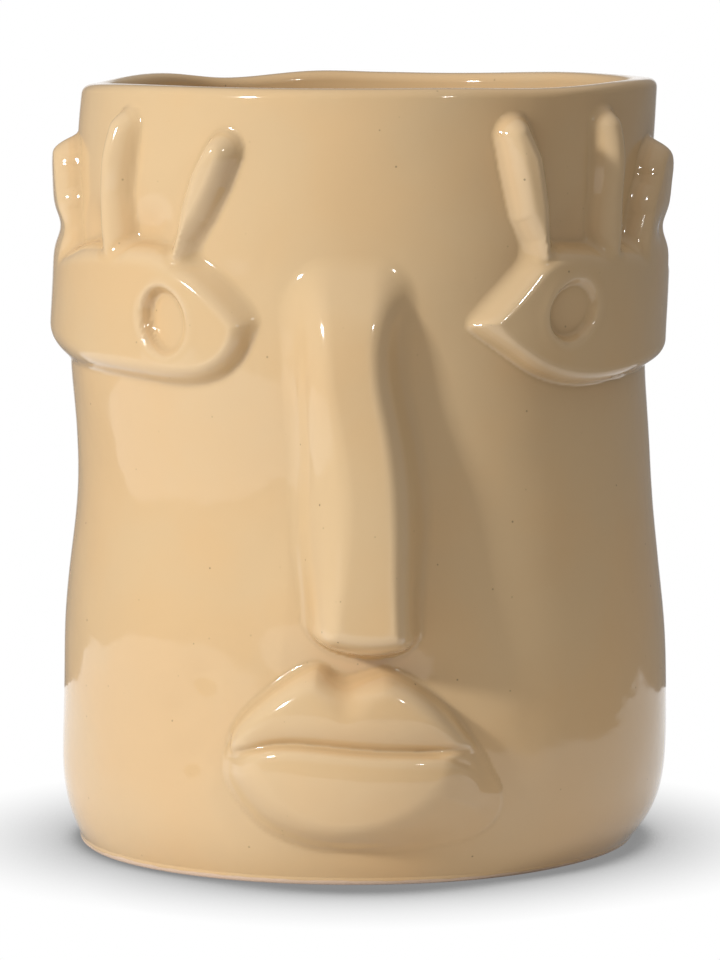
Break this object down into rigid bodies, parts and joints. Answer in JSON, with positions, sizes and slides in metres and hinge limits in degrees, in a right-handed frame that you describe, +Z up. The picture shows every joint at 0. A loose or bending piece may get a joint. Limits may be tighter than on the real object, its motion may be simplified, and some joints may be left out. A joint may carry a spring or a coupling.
{
  "type": "face vase",
  "caption": "Hand-built glossy beige ceramic vase with an abstract relief face of finger lashes, pressed pupils, a long nose and full lips under a wavy rim.",
  "frame": {"origin": "centre of the flat foot, on the table", "axes": "+Z up out of the mouth, -Y the way the face looks, +X to the viewer's right"},
  "size_m": [0.1835, 0.1976, 0.2265],
  "materials": {
    "beige_glaze": "glossy clear-coated beige glaze with fine iron specks, bare clay on the foot"
  },
  "bodies": {
    "root": {"base_slab": "beige_glaze", "body_wall": "beige_glaze", "rim_coil": "beige_glaze", "nose": "beige_glaze", "upper_lip": "beige_glaze", "lower_lip": "beige_glaze", "eye_left": "beige_glaze", "eye_right": "beige_glaze", "lash_left_inner": "beige_glaze", "lash_left_middle": "beige_glaze", "lash_left_outer": "beige_glaze", "lash_right_inner": "beige_glaze", "lash_right_middle": "beige_glaze", "lash_right_outer": "beige_glaze"}
  },
  "joints": []
}
